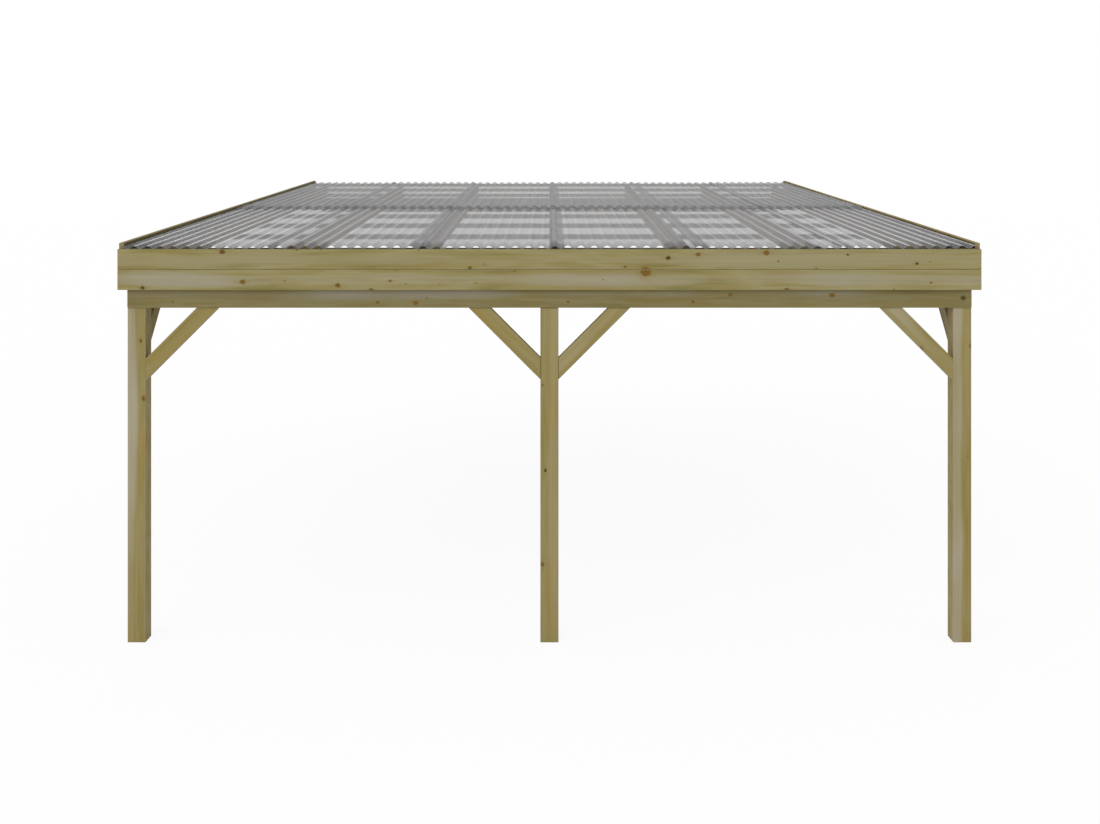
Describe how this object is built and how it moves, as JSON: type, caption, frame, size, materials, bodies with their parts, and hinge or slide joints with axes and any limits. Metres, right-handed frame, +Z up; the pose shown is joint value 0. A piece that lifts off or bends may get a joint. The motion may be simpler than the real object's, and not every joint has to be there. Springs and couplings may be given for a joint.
{
  "type": "lean-to carport",
  "caption": "Timber lean-to carport: front posts with knee braces carry rafters that run back to a wall ledger under smoky corrugated sheets.",
  "frame": {"origin": "middle of the wall ledger's back face, where it bears on the wall", "axes": "+X along the wall to the right seen from the open front, +Y into the wall, +Z up; the ground is 2.3656 m below the origin"},
  "size_m": [4.994, 6.001, 2.6203],
  "materials": {
    "post_timber": "planed, pressure-treated softwood, dull",
    "roof_timber": "sawn, pressure-treated softwood, dull",
    "fascia_board": "planed tongue and groove softwood, dull",
    "smoky_sheet": "smoky translucent, glossy"
  },
  "bodies": {
    "root": {"post_left": "post_timber", "post_centre": "post_timber", "post_right": "post_timber", "front_beam": "post_timber", "fascia_front_upper": "fascia_board", "fascia_front_lower": "fascia_board", "fascia_left_upper": "fascia_board", "fascia_left_lower": "fascia_board", "fascia_right_upper": "fascia_board", "fascia_right_lower": "fascia_board", "rafter_1": "roof_timber", "rafter_2": "roof_timber", "rafter_3": "roof_timber", "rafter_4": "roof_timber", "rafter_5": "roof_timber", "rafter_6": "roof_timber", "rafter_7": "roof_timber", "purlin_1": "roof_timber", "purlin_2": "roof_timber", "purlin_3": "roof_timber", "purlin_4": "roof_timber", "purlin_5": "roof_timber", "purlin_6": "roof_timber", "purlin_7": "roof_timber", "purlin_8": "roof_timber", "purlin_9": "roof_timber", "wall_ledger": "roof_timber", "brace_front_left": "post_timber", "brace_front_right": "post_timber", "brace_centre_left": "post_timber", "brace_centre_right": "post_timber", "brace_side_left": "post_timber", "brace_side_right": "post_timber", "sheet_lower_1": "smoky_sheet", "sheet_lower_2": "smoky_sheet", "sheet_lower_3": "smoky_sheet", "sheet_lower_4": "smoky_sheet", "sheet_lower_5": "smoky_sheet", "sheet_lower_6": "smoky_sheet", "sheet_upper_1": "smoky_sheet", "sheet_upper_2": "smoky_sheet", "sheet_upper_3": "smoky_sheet", "sheet_upper_4": "smoky_sheet", "sheet_upper_5": "smoky_sheet", "sheet_upper_6": "smoky_sheet"}
  },
  "joints": []
}
